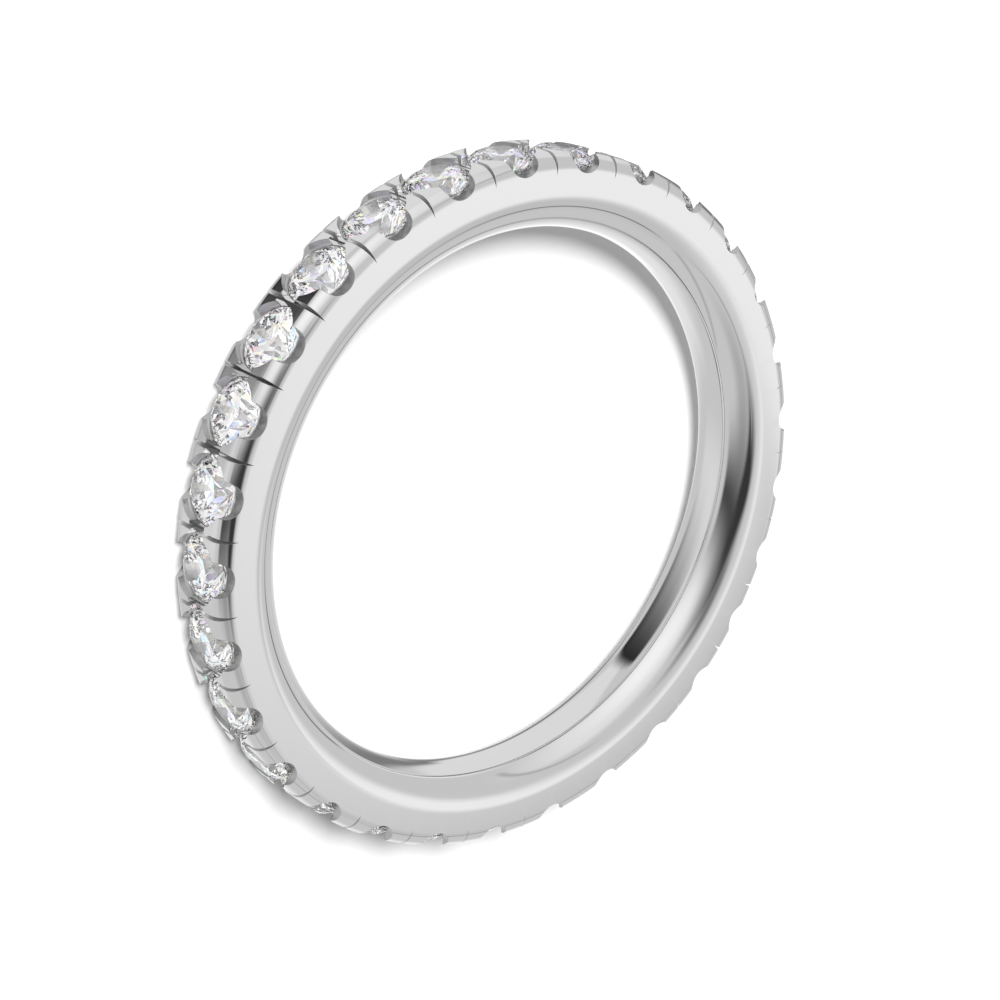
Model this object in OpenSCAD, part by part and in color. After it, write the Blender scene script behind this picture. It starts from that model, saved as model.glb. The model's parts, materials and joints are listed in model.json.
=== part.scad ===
// Eternity ring: a comfort-fit band with a round brilliant in every seat of a shared-prong row.
// The ring lies on its side. +Z is the finger axis and the origin is the middle of the lower side face.

/* [Band] */
// Radius of the finger hole
hole_r = 8.26; // [7.2:0.05:11]
// Metal between the culets and the finger hole
floor_t = 1.05; // [0.8:0.01:1.6]
// Metal beside a stone's girdle, on each side of the band
rail_w = 0.245; // [0.18:0.005:0.5]
// Straight stretch of the finger hole between its rounded edges
land_w = 0.17; // [0.1:0.01:1]
// Rounding of the outer edges
shoulder_r = 0.52; // [0.2:0.02:0.6]

/* [Stones] */
// Diameter of a stone at its girdle
stone_d = 1.98; // [1.5:0.01:2.6]
// Diameter of the table across its corners
table_d = 1.16; // [0.9:0.02:1.3]
// Height from the girdle to the table
crown_h = 0.3; // [0.2:0.01:0.36]
// Thickness of the girdle where it is thickest
girdle_t = 0.06; // [0.05:0.005:0.12]
// Depth from the girdle to the culet
pavilion_h = 0.87; // [0.7:0.01:1.1]
// Least space between neighbouring stones, along the girdles
stone_gap = 0.23; // [0.18:0.01:0.4]

/* [Setting] */
// Space between a stone and its seat
seat_gap = 0.02; // [0.015:0.005:0.06]
// Reach of the prongs over the edge of a stone
prong_grip = 0.025; // [0:0.005:0.08]
// Height of the prong tops above the tables
prong_rise = 0.02; // [0:0.01:0.1]
// Radius of the round cut that opens each seat to the sides
scallop_r = 0.52; // [0.4:0.01:0.6]
// Depth of the round cut below the prong tops
scallop_h = 0.53; // [0.35:0.01:0.65]
// Width of the saw cut between two prongs, at their tops
notch_w = 0.13; // [0.05:0.01:0.18]
// Depth of the saw cut below the prong tops
notch_h = 0.58; // [0.3:0.01:0.8]
// Width of the channel round the middle of the row, which parts the near prongs from the far ones
channel_w = 0.74; // [0.4:0.02:1]
// Depth of the channel below the prong tops
channel_h = 0.27; // [0.26:0.01:0.4]

/* [Hidden] */
// Shares of the stone's radius where the star facets end, and where the lower girdle facets end
STAR_SHARE = 0.77;
LOWER_SHARE = 0.24;
// Turn between two main facets of a stone, and from there to the corner and the middle of a girdle facet
MAIN = 45;
HALF = MAIN / 2;
QUARTER = MAIN / 4;
// How far a cutter runs past the metal
PAST = 1;

stone_r = stone_d / 2;
band_w = stone_d + 2 * rail_w;
edge_r = (band_w - land_w) / 2;
// Radii from the finger axis
culet_at = hole_r + floor_t;
girdle_low_at = culet_at + pavilion_h;
girdle_high_at = girdle_low_at + girdle_t;
table_at = girdle_high_at + crown_h;
top_r = table_at + prong_rise;
side_r = top_r - shoulder_r;
// The row
stone_count = floor(360 / (2 * asin((stone_d + stone_gap) / (2 * girdle_high_at))));
pitch = 360 / stone_count;

function stone_name(i) = str("stone_", i < 10 ? "0" : "", i);

// Cross-section of the band, in the half plane of radius and height
module section() {
    translate([hole_r + edge_r, 0]) square([side_r - hole_r - edge_r, band_w]);
    translate([hole_r, edge_r]) square([edge_r, land_w]);
    translate([side_r, shoulder_r]) square([shoulder_r, band_w - 2 * shoulder_r]);
    for (z = [edge_r, band_w - edge_r])
        translate([hole_r + edge_r, z]) circle(edge_r, $fn = 96);
    for (z = [shoulder_r, band_w - shoulder_r])
        translate([side_r, z]) circle(shoulder_r, $fn = 96);
}

// Puts what is drawn along +Z, with zero at the finger axis, onto the radius of a place in the row
module on_radius() {
    translate([0, 0, band_w / 2]) rotate([0, 90, 0]) children();
}

// Blind seat: a bore with a bead that grips the stone, a groove for the girdle, and a cone that follows the pavilion
module seat() {
    seat_r = stone_r + seat_gap;
    grip_r = stone_r - prong_grip;
    bead_h = seat_r - grip_r;
    cone_h = pavilion_h * seat_r / stone_r;
    groove_at = girdle_high_at + seat_gap;
    on_radius() rotate_extrude($fn = 96) polygon([
        [0, girdle_low_at - cone_h],
        [seat_r, girdle_low_at],
        [seat_r, groove_at],
        [grip_r, groove_at + bead_h],
        [seat_r, groove_at + 2 * bead_h],
        [seat_r, top_r + PAST],
        [0, top_r + PAST]
    ]);
}

// Round cut along the finger axis, which shows the stone from the side
module scallop() {
    translate([top_r - scallop_h + scallop_r, 0, -PAST])
        cylinder(h = band_w + 2 * PAST, r = scallop_r, $fn = 96);
}

// Tapered saw cut that parts one prong from the next
module notch() {
    half_w = notch_w / 2 * (notch_h + PAST) / notch_h;
    translate([0, 0, -PAST]) linear_extrude(height = band_w + 2 * PAST)
        polygon([[top_r - notch_h, 0], [top_r + PAST, -half_w], [top_r + PAST, half_w]]);
}

// Channel round the middle of the row
module channel() {
    rotate_extrude($fn = 360) translate([top_r - channel_h, (band_w - channel_w) / 2])
        square([channel_h + PAST, channel_w]);
}

module band() {
    color("gainsboro") difference() {
        rotate_extrude($fn = 360) section();
        channel();
        for (i = [1 : stone_count]) {
            rotate([0, 0, (i - 0.5) * pitch]) {
                seat();
                scallop();
            }
            rotate([0, 0, (i - 1) * pitch]) notch();
        }
    }
}

// Point at radius r, turn a and height z
function polar(r, a, z) = [r * cos(a), r * sin(a), z];

// Height at radius r and turn a off the middle of a facet that runs from (r1, z1) to (r2, z2)
function on_facet(r, a, r1, z1, r2, z2) = z1 + (z2 - z1) * (r * cos(a) - r1) / (r2 - r1);

// Height on the round girdle, at the middle of the facet from an inner corner (r1, z1) to two
// girdle corners at height z2
function mid_girdle_z(r1, z1, z2) =
    on_facet(stone_r, 0, r1 * cos(QUARTER), z1, stone_r * cos(QUARTER), z2);

// Round brilliant of 57 facets. The lower edge of its girdle is at zero and its table is up.
module brilliant() {
    table_r = table_d / 2;
    table_z = girdle_t + crown_h;
    star_r = stone_r * STAR_SHARE;
    star_z = on_facet(star_r, HALF, table_r, table_z, stone_r, girdle_t);
    lower_r = stone_r * LOWER_SHARE;
    lower_z = on_facet(lower_r, HALF, 0, -pavilion_h, stone_r, 0);
    high_mid_z = mid_girdle_z(star_r, star_z, girdle_t);
    low_mid_z = mid_girdle_z(lower_r, lower_z, 0);
    // First index of each ring of corners: table, star, high girdle, low girdle, lower halves, culet
    T = 0;
    S = 8;
    H = 16;
    G = 48;
    L = 80;
    C = 88;
    corners = concat(
        [for (i = [0 : 7]) polar(table_r, i * MAIN, table_z)],
        [for (i = [0 : 7]) polar(star_r, i * MAIN + HALF, star_z)],
        [for (j = [0 : 31]) polar(stone_r, j * QUARTER, j % 2 == 0 ? girdle_t : high_mid_z)],
        [for (j = [0 : 31]) polar(stone_r, j * QUARTER, j % 2 == 0 ? 0 : low_mid_z)],
        [for (i = [0 : 7]) polar(lower_r, i * MAIN + HALF, lower_z)],
        [[0, 0, -pavilion_h]]
    );
    // Each list is one kind of facet, clockwise as seen from outside
    table = [[for (i = [7 : -1 : 0]) T + i]];
    stars = [for (i = [0 : 7]) [T + i, T + (i + 1) % 8, S + i]];
    bezels = [for (i = [0 : 7]) [T + i, S + i, H + 4 * i, S + (i + 7) % 8]];
    upper_halves = [for (i = [0 : 7], j = [4 * i, 4 * i + 2]) [S + i, H + (j + 2) % 32, H + j + 1, H + j]];
    girdle = [for (j = [0 : 31]) [H + j, H + (j + 1) % 32, G + (j + 1) % 32, G + j]];
    lower_halves = [for (i = [0 : 7], j = [4 * i, 4 * i + 2]) [L + i, G + j, G + j + 1, G + (j + 2) % 32]];
    mains = [for (i = [0 : 7]) [C, L + (i + 7) % 8, G + 4 * i, L + i]];
    polyhedron(corners, concat(table, stars, bezels, upper_halves, girdle, lower_halves, mains));
}

module stone(i) {
    color("aliceblue") rotate([0, 0, (i - 0.5) * pitch]) on_radius()
        translate([0, 0, girdle_low_at]) brilliant();
}

band();
for (i = [1 : stone_count])
    stone(i);
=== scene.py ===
"""An eternity ring lying on its side on a pale floor: a polished white-metal band set with brilliants."""

import json
import math

import bmesh
import bpy
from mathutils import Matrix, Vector


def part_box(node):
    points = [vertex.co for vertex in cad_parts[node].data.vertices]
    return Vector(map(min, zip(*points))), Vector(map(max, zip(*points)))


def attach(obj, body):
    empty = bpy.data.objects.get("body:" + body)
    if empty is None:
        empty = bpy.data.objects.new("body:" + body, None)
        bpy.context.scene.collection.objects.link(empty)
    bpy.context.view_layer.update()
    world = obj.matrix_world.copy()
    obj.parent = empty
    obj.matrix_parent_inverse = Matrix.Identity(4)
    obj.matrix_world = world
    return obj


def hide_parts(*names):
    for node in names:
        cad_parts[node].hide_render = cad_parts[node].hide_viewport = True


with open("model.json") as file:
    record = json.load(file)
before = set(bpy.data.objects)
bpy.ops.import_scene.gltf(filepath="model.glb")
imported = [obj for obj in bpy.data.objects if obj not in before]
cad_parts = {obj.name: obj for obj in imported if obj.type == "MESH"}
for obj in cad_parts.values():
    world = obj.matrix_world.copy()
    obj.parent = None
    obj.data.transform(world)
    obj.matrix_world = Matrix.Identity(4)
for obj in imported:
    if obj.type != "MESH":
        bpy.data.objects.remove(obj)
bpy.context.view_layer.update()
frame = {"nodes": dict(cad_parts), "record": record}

# One millimetre, in metres. The band is cut at a bench scale of a millimetre to a unit, then brought to
# metres.
MM = 0.001

# Sizes from the frame, in millimetres
STONES = sorted(name for name in frame["nodes"] if name.startswith("stone_"))
PITCH = 2 * math.pi / len(STONES)
MOUNTS = {mount["name"]: mount for mount in frame["record"]["mounts"]}
HOLE_R = MOUNTS["finger_bore"]["dims"]["r_mm"]
LAND_W = MOUNTS["finger_bore"]["dims"]["length_mm"]
BAND_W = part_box("band")[1].z / MM
TOP_R = max(vertex.co.xy.length for vertex in frame["nodes"]["band"].data.vertices) / MM

# Sizes of the setting, in millimetres, as the solids have them
EDGE_R = (BAND_W - LAND_W) / 2
SHOULDER_R = 0.52
STONE_R = 0.99
SEAT_GAP = 0.02
PRONG_GRIP = 0.025
PRONG_RISE = 0.02
CROWN_H = 0.3
GIRDLE_T = 0.06
PAVILION_H = 0.87
SCALLOP_R = 0.52
SCALLOP_H = 0.53
NOTCH_W = 0.13
NOTCH_H = 0.58
CHANNEL_W = 0.74
CHANNEL_H = 0.27

# How far a cutter runs past the metal, in millimetres
PAST = 1.0
# How finely the band is turned and cut
TURN_STEPS = 290
EDGE_STEPS = 36
SHOULDER_STEPS = 44
CUT_SIDES = 128
# Points nearer than this, in millimetres, are one point
NEAR = 1e-4
# Edges that turn by less than this, in degrees, look smooth
SMOOTH_BELOW = 22


def deselect_all():
    bpy.ops.object.select_all(action="DESELECT")


def pick(*pieces):
    """Selects the pieces, with the first one active"""
    deselect_all()
    for piece in pieces:
        piece.select_set(True)
    bpy.context.view_layer.objects.active = pieces[0]


def select_vertices(rule):
    """Selects the vertices whose place meets the rule, in edit mode"""
    bpy.ops.mesh.select_all(action="DESELECT")
    mesh = bmesh.from_edit_mesh(bpy.context.object.data)
    for vertex in mesh.verts:
        vertex.select = rule(vertex.co)
    mesh.select_flush(True)
    bmesh.update_edit_mesh(bpy.context.object.data)


def close_up():
    """Merges doubles and points every face outwards, in edit mode"""
    bpy.ops.mesh.select_all(action="SELECT")
    bpy.ops.mesh.remove_doubles(threshold=NEAR)
    bpy.ops.mesh.normals_make_consistent(inside=False)


def settle(piece, name):
    """Names a piece and applies its place, turn and size to its mesh"""
    pick(piece)
    bpy.ops.object.transform_apply(location=True, rotation=True, scale=True)
    piece.name = name
    return piece


def apply_boolean(piece, other, operation):
    """Cuts the other piece from this one, or joins it on, and discards the other"""
    pick(piece)
    cut = piece.modifiers.new("cut", "BOOLEAN")
    cut.operation = operation
    cut.solver = "MANIFOLD"
    cut.object = other
    bpy.ops.object.modifier_apply(modifier=cut.name)
    bpy.data.objects.remove(other, do_unlink=True)


def section(name, inner_r, outer_r, width):
    """Upright rectangle in the plane of the finger axis, across the middle of the band's width"""
    deselect_all()
    bpy.ops.mesh.primitive_plane_add(
        size=1, location=((inner_r + outer_r) / 2, 0, BAND_W / 2), rotation=(math.pi / 2, 0, 0)
    )
    piece = bpy.context.object
    piece.scale = (outer_r - inner_r, width, 1)
    return settle(piece, name)


def turn_round():
    """Turns the outline of a section round the finger axis, in edit mode"""
    bpy.ops.mesh.select_all(action="SELECT")
    bpy.ops.mesh.delete(type="ONLY_FACE")
    bpy.ops.mesh.select_all(action="SELECT")
    bpy.ops.mesh.spin(steps=TURN_STEPS, angle=2 * math.pi, center=(0, 0, 0), axis=(0, 0, 1))
    close_up()


def turned_blank():
    """The band before any stone is set: its rounded section, turned round the finger axis"""
    blank = section("blank", HOLE_R, TOP_R, BAND_W)
    bpy.ops.object.mode_set(mode="EDIT")
    middle = (HOLE_R + TOP_R) / 2
    select_vertices(lambda place: place.x < middle)
    bpy.ops.mesh.bevel(offset=EDGE_R, segments=EDGE_STEPS, affect="VERTICES", clamp_overlap=False)
    select_vertices(lambda place: place.x > TOP_R - NEAR)
    bpy.ops.mesh.bevel(offset=SHOULDER_R, segments=SHOULDER_STEPS, affect="VERTICES", clamp_overlap=False)
    turn_round()
    bpy.ops.object.mode_set(mode="OBJECT")
    return blank


def channel_cutter():
    """Groove round the middle of the row, which parts the near prongs from the far ones"""
    cutter = section("channel_cutter", TOP_R - CHANNEL_H, TOP_R + PAST, CHANNEL_W)
    bpy.ops.object.mode_set(mode="EDIT")
    turn_round()
    bpy.ops.object.mode_set(mode="OBJECT")
    return cutter


def seat_cutter():
    """Blind seat for one stone: a bore, a gripping bead, a girdle groove and a pavilion cone"""
    girdle_high = TOP_R - PRONG_RISE - CROWN_H
    girdle_low = girdle_high - GIRDLE_T
    grip_r = STONE_R - PRONG_GRIP
    seat_r = STONE_R + SEAT_GAP
    bead_h = seat_r - grip_r
    groove_at = girdle_high + SEAT_GAP
    cone_h = PAVILION_H * seat_r / STONE_R
    deselect_all()
    bpy.ops.mesh.primitive_circle_add(
        vertices=CUT_SIDES,
        radius=seat_r,
        fill_type="NGON",
        location=(TOP_R + PAST, 0, BAND_W / 2),
        rotation=(0, math.pi / 2, 0),
    )
    cutter = settle(bpy.context.object, "seat_cutter")
    bpy.ops.object.mode_set(mode="EDIT")
    bpy.ops.mesh.select_all(action="SELECT")
    # Each step goes in from the outside by a distance, and changes the radius by a factor
    steps = (
        (groove_at + 2 * bead_h - TOP_R - PAST, 1),
        (-bead_h, grip_r / seat_r),
        (-bead_h, seat_r / grip_r),
        (girdle_low - groove_at, 1),
        (-cone_h, 0),
    )
    for move, grow in steps:
        bpy.ops.mesh.extrude_region_move(TRANSFORM_OT_translate={"value": (move, 0, 0)})
        if grow != 1:
            bpy.ops.transform.resize(value=(1, grow, grow), center_override=(0, 0, BAND_W / 2))
    close_up()
    bpy.ops.object.mode_set(mode="OBJECT")
    return cutter


def scallop_cutter():
    """Round bar along the finger axis, which opens a seat to both sides"""
    deselect_all()
    bpy.ops.mesh.primitive_cylinder_add(
        vertices=CUT_SIDES,
        radius=SCALLOP_R,
        depth=BAND_W + 2 * PAST,
        location=(TOP_R - SCALLOP_H + SCALLOP_R, 0, BAND_W / 2),
    )
    return settle(bpy.context.object, "scallop_cutter")


def notch_cutter():
    """Wedge that parts one prong from the next"""
    deselect_all()
    length = NOTCH_H + PAST
    bpy.ops.mesh.primitive_cube_add(size=1, location=(TOP_R - NOTCH_H + length / 2, 0, BAND_W / 2))
    cutter = bpy.context.object
    cutter.scale = (length, NOTCH_W * length / NOTCH_H, BAND_W + 2 * PAST)
    cutter = settle(cutter, "notch_cutter")
    bpy.ops.object.mode_set(mode="EDIT")
    select_vertices(lambda place: place.x < TOP_R - NOTCH_H + PAST / 2)
    bpy.ops.transform.resize(value=(1, 0, 1), center_override=(0, 0, 0))
    close_up()
    bpy.ops.object.mode_set(mode="OBJECT")
    return cutter


def row_of(cutter, first_turn):
    """Copies a cutter once for each stone, turned round the finger axis, as one mesh"""
    copies = []
    for place in range(len(STONES)):
        pick(cutter)
        bpy.ops.object.duplicate()
        copy = bpy.context.object
        copy.rotation_euler.z = first_turn + place * PITCH
        copies.append(settle(copy, f"{cutter.name}_{place}"))
    bpy.data.objects.remove(cutter, do_unlink=True)
    pick(*copies)
    bpy.ops.object.join()
    return copies[0]


def band():
    """The whole band, cut from its turned blank and smoothed"""
    ring = turned_blank()
    seat = seat_cutter()
    apply_boolean(seat, scallop_cutter(), "UNION")
    apply_boolean(ring, channel_cutter(), "DIFFERENCE")
    apply_boolean(ring, row_of(seat, PITCH / 2), "DIFFERENCE")
    apply_boolean(ring, row_of(notch_cutter(), 0), "DIFFERENCE")
    pick(ring)
    ring.scale = (MM, MM, MM)
    settle(ring, "polished_band")
    bpy.ops.object.shade_smooth_by_angle(angle=math.radians(SMOOTH_BELOW))
    weigh = ring.modifiers.new("weigh", "WEIGHTED_NORMAL")
    weigh.keep_sharp = True
    bpy.ops.object.modifier_apply(modifier=weigh.name)
    return ring


# Grey of the polished metal, and a darker grey painted on the walls cut round the stones, as painted shade in
# those recesses
METAL_GREY = 0.9
CUT_SHADE_GREY = 0.62
# How far from a cut's surface the metal still takes the cut's satin, and on the walls round the stones their
# painted shade, in millimetres
CUT_MARGIN = 0.004
# Finishes: how fine the haze is, and its least and most roughness
MIRROR_FINISH = (900, 0.02, 0.06)
SATIN_FINISH = (2500, 0.3, 0.42)
STONE_FINISH = (2600, 0, 0.02)
HAZE_DETAIL = 4
# How strongly a stone bends light
STONE_IOR = 2.42

# Places of a Mix node's two colours and of the mixed one among its sockets
FIRST_COLOUR = 6
SECOND_COLOUR = 7
MIXED_COLOUR = 2
# Places of a Mix Shader node's two lights
FIRST_LIGHT = 1
SECOND_LIGHT = 2


def new_material(name):
    material = bpy.data.materials.new(name)
    material.use_nodes = True
    return material, material.node_tree.nodes, material.node_tree.links


def painted_over(nodes, links, colour, mask, shade):
    """Paints a grey or another node's colour over the colour so far, where the mask is one"""
    mix = nodes.new("ShaderNodeMix")
    mix.data_type = "RGBA"
    links.new(mask, mix.inputs["Factor"])
    links.new(colour, mix.inputs[FIRST_COLOUR])
    if isinstance(shade, bpy.types.NodeSocket):
        links.new(shade, mix.inputs[SECOND_COLOUR])
    else:
        mix.inputs[SECOND_COLOUR].default_value = (shade, shade, shade, 1)
    return mix.outputs[MIXED_COLOUR]


def calculate(nodes, links, operation, *values):
    """One step of arithmetic on numbers or other nodes' results"""
    node = nodes.new("ShaderNodeMath")
    node.operation = operation
    for socket, value in zip(node.inputs, values):
        if isinstance(value, bpy.types.NodeSocket):
            links.new(value, socket)
        else:
            socket.default_value = value
    return node.outputs[0]


def haze(nodes, links, place, finish):
    """Faint uneven haze that polishing leaves, as roughness"""
    scale, least, most = finish
    noise = nodes.new("ShaderNodeTexNoise")
    noise.inputs["Scale"].default_value = scale
    noise.inputs["Detail"].default_value = HAZE_DETAIL
    links.new(place, noise.inputs["Vector"])
    spread = nodes.new("ShaderNodeMapRange")
    spread.inputs["To Min"].default_value = least
    spread.inputs["To Max"].default_value = most
    links.new(noise.outputs["Fac"], spread.inputs["Value"])
    return spread.outputs["Result"]


def in_the_cuts(nodes, links, place):
    """Masks of the walls round the stones' crowns, which are satin and carry a painted shade, and of the
    seats under them together with the saw cuts
    """

    def step(operation, *values):
        return calculate(nodes, links, operation, *values)

    split = nodes.new("ShaderNodeSeparateXYZ")
    links.new(place, split.inputs["Vector"])
    x, y, z = split.outputs
    radius = step("DIVIDE", step("SQRT", step("ADD", step("MULTIPLY", x, x), step("MULTIPLY", y, y))), MM)
    turn = step("ARCTAN2", y, x)
    from_stone = step("WRAP", step("SUBTRACT", turn, PITCH / 2), PITCH / 2, -PITCH / 2)
    from_saw = step("WRAP", turn, PITCH / 2, -PITCH / 2)
    along = step("MULTIPLY", radius, step("SINE", from_stone))
    out = step("MULTIPLY", radius, step("COSINE", from_stone))
    across = step("SUBTRACT", step("DIVIDE", z, MM), BAND_W / 2)
    along_squared = step("MULTIPLY", along, along)
    off_cut = step("SUBTRACT", out, TOP_R - SCALLOP_H + SCALLOP_R)
    to_cut = step("SQRT", step("ADD", along_squared, step("MULTIPLY", off_cut, off_cut)))
    to_stone = step("SQRT", step("ADD", along_squared, step("MULTIPLY", across, across)))
    in_round_cut = step("LESS_THAN", to_cut, SCALLOP_R + CUT_MARGIN)
    in_seat = step("LESS_THAN", to_stone, STONE_R + SEAT_GAP + CUT_MARGIN)
    in_crown = step("GREATER_THAN", out, TOP_R - PRONG_RISE - CROWN_H - 2 * GIRDLE_T)
    saw = step("ABSOLUTE", step("MULTIPLY", radius, step("SINE", from_saw)))
    saw_height = step("SUBTRACT", radius, TOP_R - NOTCH_H)
    saw_half = step("MULTIPLY_ADD", saw_height, NOTCH_W / NOTCH_H / 2, CUT_MARGIN)
    in_saw_cut = step("LESS_THAN", saw, saw_half)
    walls = step("MAXIMUM", in_round_cut, step("MULTIPLY", in_seat, in_crown))
    below = step("MAXIMUM", in_saw_cut, step("MULTIPLY", in_seat, step("SUBTRACT", 1, in_crown)))
    in_finger_hole = step("LESS_THAN", radius, HOLE_R + EDGE_R)
    return walls, step("MULTIPLY", below, step("SUBTRACT", 1, in_finger_hole))


def white_metal():
    """Mirror-polished white gold with a faint buffing haze, and satin where it is cut for the stones, with a
    darker grey painted on the walls round the stones as shade
    """
    material, nodes, links = new_material("white_metal")
    shader = nodes["Principled BSDF"]
    shader.inputs["Metallic"].default_value = 1
    place = nodes.new("ShaderNodeTexCoord").outputs["Object"]
    walls, below = in_the_cuts(nodes, links, place)
    finish = nodes.new("ShaderNodeMix")
    links.new(calculate(nodes, links, "MAXIMUM", walls, below), finish.inputs["Factor"])
    links.new(haze(nodes, links, place, MIRROR_FINISH), finish.inputs["A"])
    links.new(haze(nodes, links, place, SATIN_FINISH), finish.inputs["B"])
    links.new(finish.outputs["Result"], shader.inputs["Roughness"])
    polished = nodes.new("ShaderNodeRGB").outputs[0]
    polished.default_value = (METAL_GREY, METAL_GREY, METAL_GREY, 1)
    # Painted shade: the walls round the stones get a darker grey than the polished metal, standing in for the
    # shade in these recesses
    links.new(painted_over(nodes, links, polished, walls, CUT_SHADE_GREY), shader.inputs["Base Color"])
    return material


def brilliant_stone():
    """Clear stone that bends light as diamond does, with a trace of its polishing lines"""
    material, nodes, links = new_material("brilliant_stone")
    shader = nodes["Principled BSDF"]
    shader.inputs["Base Color"].default_value = (1, 1, 1, 1)
    shader.inputs["IOR"].default_value = STONE_IOR
    shader.inputs["Transmission Weight"].default_value = 1
    place = nodes.new("ShaderNodeTexCoord").outputs["Object"]
    links.new(haze(nodes, links, place, STONE_FINISH), shader.inputs["Roughness"])
    return material


# The floor: its side, and how far below the ring it lies so that they don't share a plane, both in metres,
# and its look
FLOOR_SIDE = 2
FLOOR_DROP = 0.00002
FLOOR_GREY = 0.92
FLOOR_ROUGHNESS = 0.9


def floor():
    deselect_all()
    bpy.ops.mesh.primitive_plane_add(size=FLOOR_SIDE, location=(0, 0, -FLOOR_DROP))
    piece = bpy.context.object
    piece.name = "floor"
    material, nodes, links = new_material("pale_floor")
    shader = nodes["Principled BSDF"]
    shader.inputs["Base Color"].default_value = (FLOOR_GREY, FLOOR_GREY, FLOOR_GREY, 1)
    shader.inputs["Roughness"].default_value = FLOOR_ROUGHNESS
    piece.data.materials.append(material)
    piece.visible_glossy = False
    piece.visible_transmission = False


# The camera that the photo was taken with, set against the ring lying on its side: its place in millimetres,
# its turn in degrees, and its focal length and sensor in millimetres
CAMERA_AT = (44.734, 34.746, 61.798)
CAMERA_TURN = (-22.180, -37.944, -108.624)
FOCAL_LENGTH = 101.58
SENSOR_WIDTH = 36
# The nearest and farthest that it sees, in metres
NEAREST = 0.001
FARTHEST = 10


def camera():
    data = bpy.data.cameras.new("camera")
    eye = bpy.data.objects.new("camera", data)
    bpy.context.scene.collection.objects.link(eye)
    eye.location = Vector(CAMERA_AT) * MM
    eye.rotation_euler = [math.radians(turn) for turn in CAMERA_TURN]
    data.sensor_width = SENSOR_WIDTH
    data.lens = FOCAL_LENGTH
    data.clip_start = NEAREST
    data.clip_end = FARTHEST
    bpy.context.scene.camera = eye


# The key lamp: the azimuth and elevation that it shines from and its spread, in degrees, and its strength
KEY_AZIMUTH = 8
KEY_ELEVATION = 54
KEY_SPREAD = 24
KEY_STRENGTH = 3.9


def key_light():
    """Large soft lamp far off, which lights the floor evenly"""
    data = bpy.data.lights.new("key", "SUN")
    data.angle = math.radians(KEY_SPREAD)
    data.energy = KEY_STRENGTH
    lamp = bpy.data.objects.new("key", data)
    bpy.context.scene.collection.objects.link(lamp)
    lamp.rotation_euler = (0, math.radians(90 - KEY_ELEVATION), math.radians(KEY_AZIMUTH))
    lamp.visible_glossy = False
    lamp.visible_transmission = False


# Grey of the studio where nothing else is painted, and soft panels round the ring. Each panel gives the
# azimuth and elevation of its middle, its half width and half height, how softly it ends towards lower
# azimuths, towards higher ones, and above and below, its roll, and its grey. All but the grey are in degrees.
STUDIO_GREY = 0.61
PANELS = (
    # walls behind, above the horizon
    ((-140, 50), (16, 12), (22, 22, 16), 0, 0.76),
    ((128, 52), (20, 12), (14, 14, 10), 0, 0.44),
    # softbox in front, brightest in its middle
    ((-2, 30), (44, 32), (18, 18, 10), 0, 0.80),
    ((10, 24), (24, 20), (22, 22, 16), 0, 0.98),
    # ceiling
    ((-10, 90), (9, 9), (7, 7, 7), 0, 0.2),
    # dark flag beside the softbox, and its top
    ((76, 50), (16, 34), (20, 20, 5), 0, 0.04),
    ((124, 73), (18, 8), (10, 10, 4), 0, 0.04),
    # seams between the walls
    ((-122, 10.3), (1.3, 14), (1.2, 1.2, 3), 58, 0.16),
    ((-148, 24), (1.2, 15), (1.2, 1.2, 3), 62, 0.3),
    ((-62.5, 40), (1.2, 24), (2, 2, 5), 6, 0.4),
    ((150, 22), (1.5, 26), (2, 2, 4), -60, 0.42),
    ((172, 54), (1.2, 16), (1.5, 1.5, 4), 24, 0.36),
    # what the side face mirrors: a lamp, and a grey card with a sharp edge and a dark gap below it
    ((-126, 47), (13, 12), (9, 9, 9), 0, 0.92),
    ((-163, 36), (19, 10), (1.5, 1.5, 6), 0, 0.57),
    ((-163, 31.2), (12, 0.9), (4, 4, 0.9), -12, 0.14),
    # table below: bright behind, then a soft shadow, a pale middle and a dark stretch with one sharp edge
    ((-170, -38), (34, 24), (18, 18, 12), 0, 0.84),
    ((-155, -42), (10, 10), (12, 12, 12), 0, 1.15),
    ((-108, -40), (10, 34), (11, 5, 6), -6, 0.22),
    ((-50, -34), (36, 34), (4, 4, 6), 0, 0.76),
    ((60, -34), (30, 28), (14, 14, 8), 0, 0.74),
    ((20, -47), (15.5, 31), (3, 32, 5), 3, 0.02),
)

# How finely the stones' surroundings are broken up, and how dark and bright their patches are. Only light
# that has passed through a stone meets them.
SPARKLE_CELLS = 4.5
SPARKLE_DARK = 0.85
SPARKLE_BRIGHT = 1.38
# The stones' fire: the tint whose hue varies from patch to patch, how strong it is, and the share of patches
# that have it
FIRE_TINT = (1, 0.5, 0.5, 1)
FIRE = 0.8
FIRE_SHARE = 0.28
# Light that the studio throws on the floor besides the key lamp
FILL = 0.35
# White of the paper behind the ring
PAPER = 1
# How often light is followed from surface to surface, in all, off mirrors, and through stones
BOUNCES = 32
MIRROR_BOUNCES = 20
STONE_BOUNCES = 20


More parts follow.
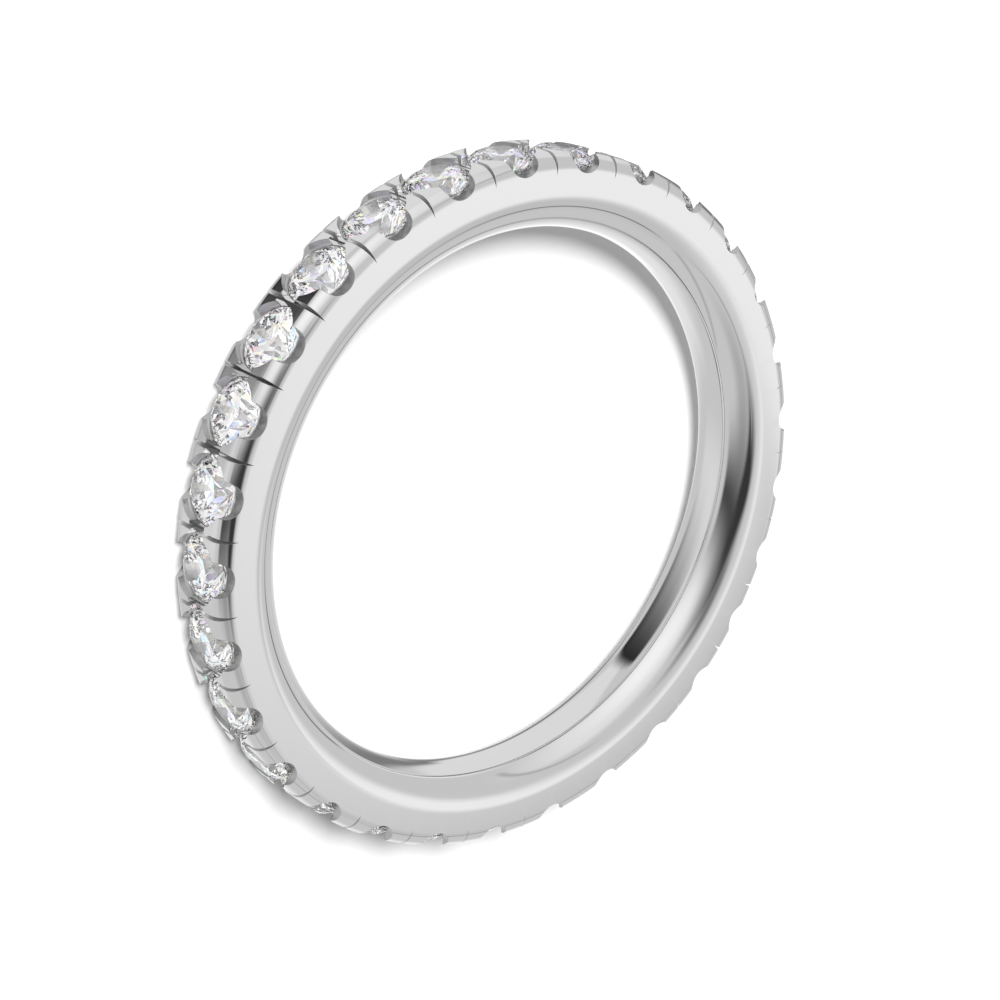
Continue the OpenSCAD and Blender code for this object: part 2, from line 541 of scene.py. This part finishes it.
def painted_panel(nodes, links, direction, colour, panel):
    """Paints one soft panel over the colour so far, by the direction that is looked in"""
    (azimuth, elevation), half_size, soft, roll, shade = panel
    turn = nodes.new("ShaderNodeMapping")
    turn.vector_type = "TEXTURE"
    turn.inputs["Rotation"].default_value = [math.radians(angle) for angle in (roll, -elevation, azimuth)]
    links.new(direction, turn.inputs["Vector"])
    split = nodes.new("ShaderNodeSeparateXYZ")
    links.new(turn.outputs["Vector"], split.inputs["Vector"])
    half_width, half_height = half_size
    sides = (
        ("Y", -half_width, soft[0]),
        ("Y", half_width, -soft[1]),
        ("Z", -half_height, soft[2]),
        ("Z", half_height, -soft[2]),
    )
    mask = 1
    for axis, edge, inwards in sides:
        angle = calculate(nodes, links, "ARCTAN2", split.outputs[axis], split.outputs["X"])
        fade = nodes.new("ShaderNodeMapRange")
        fade.interpolation_type = "SMOOTHSTEP"
        fade.inputs["From Min"].default_value = math.radians(edge - inwards)
        fade.inputs["From Max"].default_value = math.radians(edge + inwards)
        links.new(angle, fade.inputs["Value"])
        mask = calculate(nodes, links, "MULTIPLY", mask, fade.outputs["Result"])
    return painted_over(nodes, links, colour, mask, shade)


def sparkle(nodes, links, direction):
    """Surroundings broken into bright, dark and faintly coloured patches, for light that leaves a stone"""
    cells = nodes.new("ShaderNodeTexVoronoi")
    cells.inputs["Scale"].default_value = SPARKLE_CELLS
    links.new(direction, cells.inputs["Vector"])
    hues = nodes.new("ShaderNodeSeparateColor")
    links.new(cells.outputs["Color"], hues.inputs["Color"])
    level = nodes.new("ShaderNodeMapRange")
    level.inputs["To Min"].default_value = SPARKLE_DARK
    level.inputs["To Max"].default_value = SPARKLE_BRIGHT
    links.new(hues.outputs["Red"], level.inputs["Value"])
    tint = nodes.new("ShaderNodeHueSaturation")
    tint.inputs["Color"].default_value = FIRE_TINT
    links.new(hues.outputs["Green"], tint.inputs["Hue"])
    plain = nodes.new("ShaderNodeMapRange")
    plain.inputs["From Min"].default_value = FIRE_SHARE / 2
    plain.inputs["From Max"].default_value = FIRE_SHARE
    links.new(hues.outputs["Blue"], plain.inputs["Value"])
    pale = painted_over(nodes, links, tint.outputs["Color"], plain.outputs["Result"], 1)
    tinted = nodes.new("ShaderNodeMix")
    tinted.data_type = "RGBA"
    tinted.inputs["Factor"].default_value = FIRE
    tinted.inputs[FIRST_COLOUR].default_value = (1, 1, 1, 1)
    links.new(pale, tinted.inputs[SECOND_COLOUR])
    lit = nodes.new("ShaderNodeVectorMath")
    lit.operation = "SCALE"
    links.new(tinted.outputs[MIXED_COLOUR], lit.inputs[0])
    links.new(level.outputs["Result"], lit.inputs["Scale"])
    return lit.outputs["Vector"]


def backdrop(nodes, links, colour):
    """Light from all round, of one grey or of another node's colour"""
    light = nodes.new("ShaderNodeBackground")
    if isinstance(colour, bpy.types.NodeSocket):
        links.new(colour, light.inputs["Color"])
    else:
        light.inputs["Color"].default_value = (colour, colour, colour, 1)
    return light.outputs["Background"]


def either(nodes, links, mask, light, other):
    """The other light where the mask is one, and the first elsewhere"""
    mix = nodes.new("ShaderNodeMixShader")
    links.new(mask, mix.inputs["Fac"])
    links.new(light, mix.inputs[FIRST_LIGHT])
    links.new(other, mix.inputs[SECOND_LIGHT])
    return mix.outputs["Shader"]


def studio():
    """Soft panels all round for the metal and stones to mirror, in front of plain pale paper"""
    world = bpy.data.worlds.new("studio")
    bpy.context.scene.world = world
    world.use_nodes = True
    nodes, links = world.node_tree.nodes, world.node_tree.links
    direction = nodes.new("ShaderNodeTexCoord").outputs["Generated"]
    start = nodes.new("ShaderNodeRGB")
    start.outputs[0].default_value = (STUDIO_GREY, STUDIO_GREY, STUDIO_GREY, 1)
    mirrored = start.outputs[0]
    for panel in PANELS:
        mirrored = painted_panel(nodes, links, direction, mirrored, panel)
    ray = nodes.new("ShaderNodeLightPath").outputs
    through_stone = calculate(nodes, links, "GREATER_THAN", ray["Transmission Depth"], 0.5)
    in_stones = backdrop(nodes, links, sparkle(nodes, links, direction))
    light = either(nodes, links, through_stone, backdrop(nodes, links, mirrored), in_stones)
    light = either(nodes, links, ray["Is Diffuse Ray"], light, backdrop(nodes, links, FILL))
    light = either(nodes, links, ray["Is Camera Ray"], light, backdrop(nodes, links, PAPER))
    links.new(light, nodes["World Output"].inputs["Surface"])
    # Light meets the studio by chance alone, because a map of it takes longer to make than the picture
    world.cycles.sampling_method = "NONE"


def picture_settings():
    """Plain tones, and light followed far enough to find its way out of a stone"""
    scene = bpy.context.scene
    scene.view_settings.view_transform = "Standard"
    scene.cycles.max_bounces = BOUNCES
    scene.cycles.glossy_bounces = MIRROR_BOUNCES
    scene.cycles.transmission_bounces = STONE_BOUNCES


ring = band()
ring.data.materials.clear()
ring.data.materials.append(white_metal())
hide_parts("band")
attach(ring, "root")

stone_material = brilliant_stone()
for name in STONES:
    node = frame["nodes"][name]
    node.data.materials.clear()
    node.data.materials.append(stone_material)

floor()
camera()
studio()
key_light()
picture_settings()
